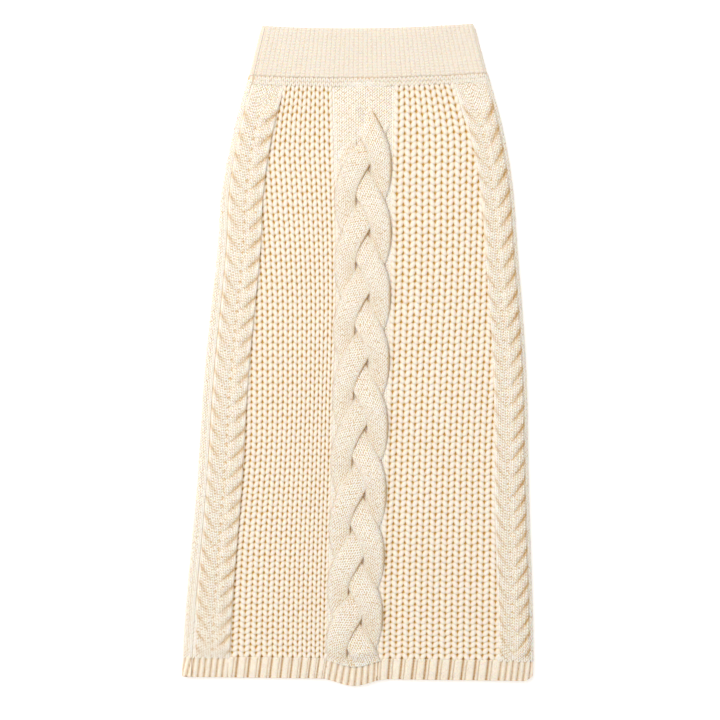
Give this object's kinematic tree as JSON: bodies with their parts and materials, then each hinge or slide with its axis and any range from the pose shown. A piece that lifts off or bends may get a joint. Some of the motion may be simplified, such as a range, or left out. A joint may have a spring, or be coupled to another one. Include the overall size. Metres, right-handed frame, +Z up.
{
  "type": "cable-knit midi skirt",
  "caption": "Cream cable-knit midi skirt laid flat: folded ribbed waistband, chunky rib fields, a thick plait down the front, rope cables by the seams and a ribbed hem",
  "frame": {"origin": "centre of the bottom of the box round the skirt as it lies: on the surface it rests on, midway along and across it", "axes": "+Y runs along the skirt from hem to waist, +X across the front to the viewer's right, +Z up out of the surface, the way the front faces"},
  "size_m": [0.456, 0.8578, 0.0211],
  "materials": {
    "chunky_rib": "matte chunky rib knit of soft plied yarn, cream",
    "plain_knit": "matte plain knit of soft plied yarn, cream",
    "fine_rib": "matte fine rib knit, cream",
    "hem_rib": "matte rib knit, cream"
  },
  "bodies": {
    "root": {"front_panel": "chunky_rib", "back_panel": "chunky_rib", "front_braid": "plain_knit", "front_cable_left": "plain_knit", "front_cable_right": "plain_knit", "waistband_front": "fine_rib", "waistband_back": "fine_rib", "hem_front": "hem_rib", "hem_back": "hem_rib"}
  },
  "joints": []
}
